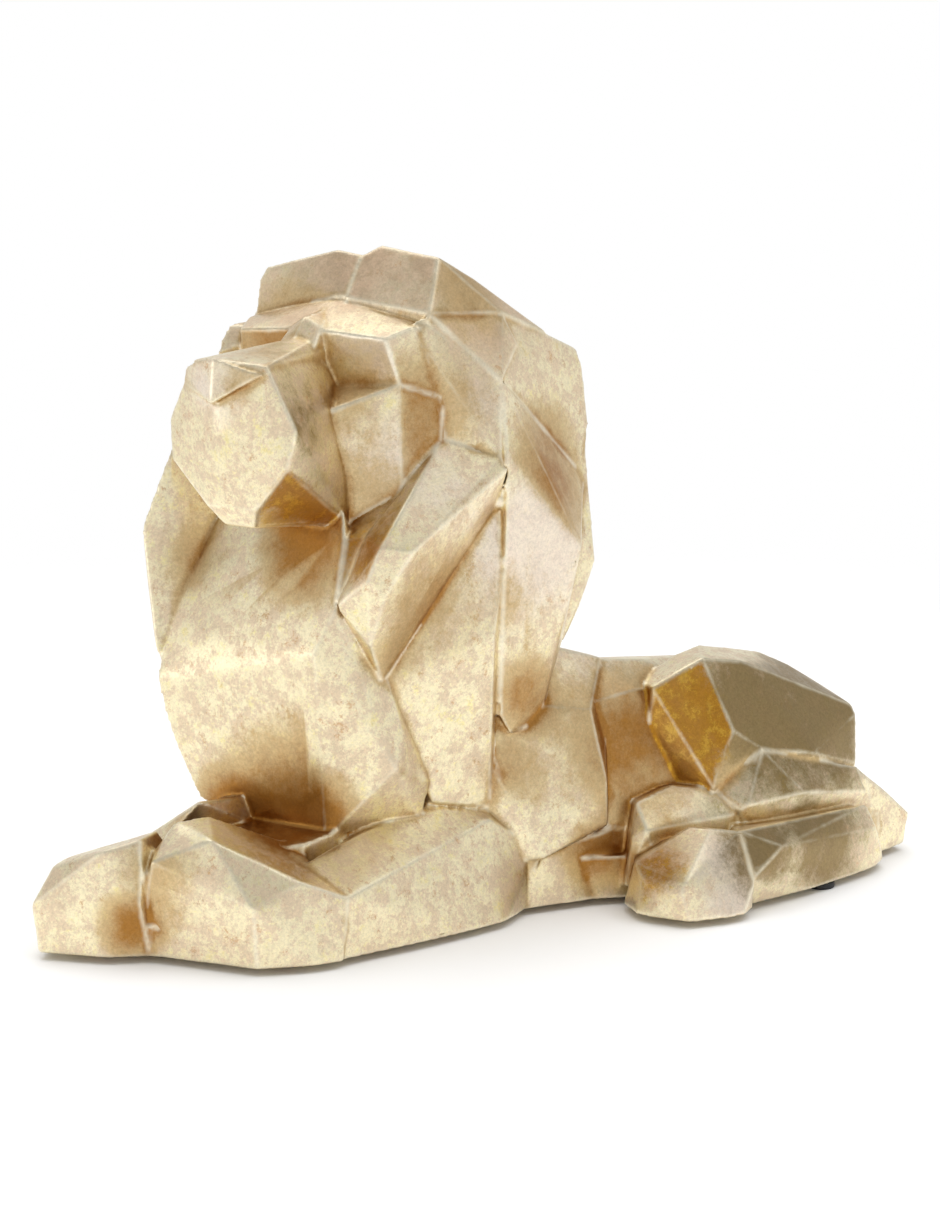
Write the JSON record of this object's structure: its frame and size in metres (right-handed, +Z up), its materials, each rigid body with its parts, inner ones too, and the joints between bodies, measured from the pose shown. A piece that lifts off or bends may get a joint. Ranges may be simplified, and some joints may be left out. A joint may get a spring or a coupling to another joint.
{
  "type": "lion figurine",
  "caption": "Low-poly lion lying down with its head turned to its left, a one-piece gold-leafed casting that stands on small rubber pads.",
  "frame": {"origin": "middle of the bounding box in plan, at the level of the pads' lower faces, where the figurine stands", "axes": "+Z up; -Y is the way the lion's body faces, so its left side, which the picture shows, is +X"},
  "size_m": [0.19, 0.4, 0.272],
  "materials": {
    "gold_leaf": "flaked pale gold leaf over a pinkish-brown ground, satin",
    "rubber": "black, matt"
  },
  "bodies": {
    "root": {"lion_casting": "gold_leaf", "pad_paw_left": "rubber", "pad_paw_right": "rubber", "pad_foot_left": "rubber", "pad_foot_right": "rubber"}
  },
  "joints": []
}
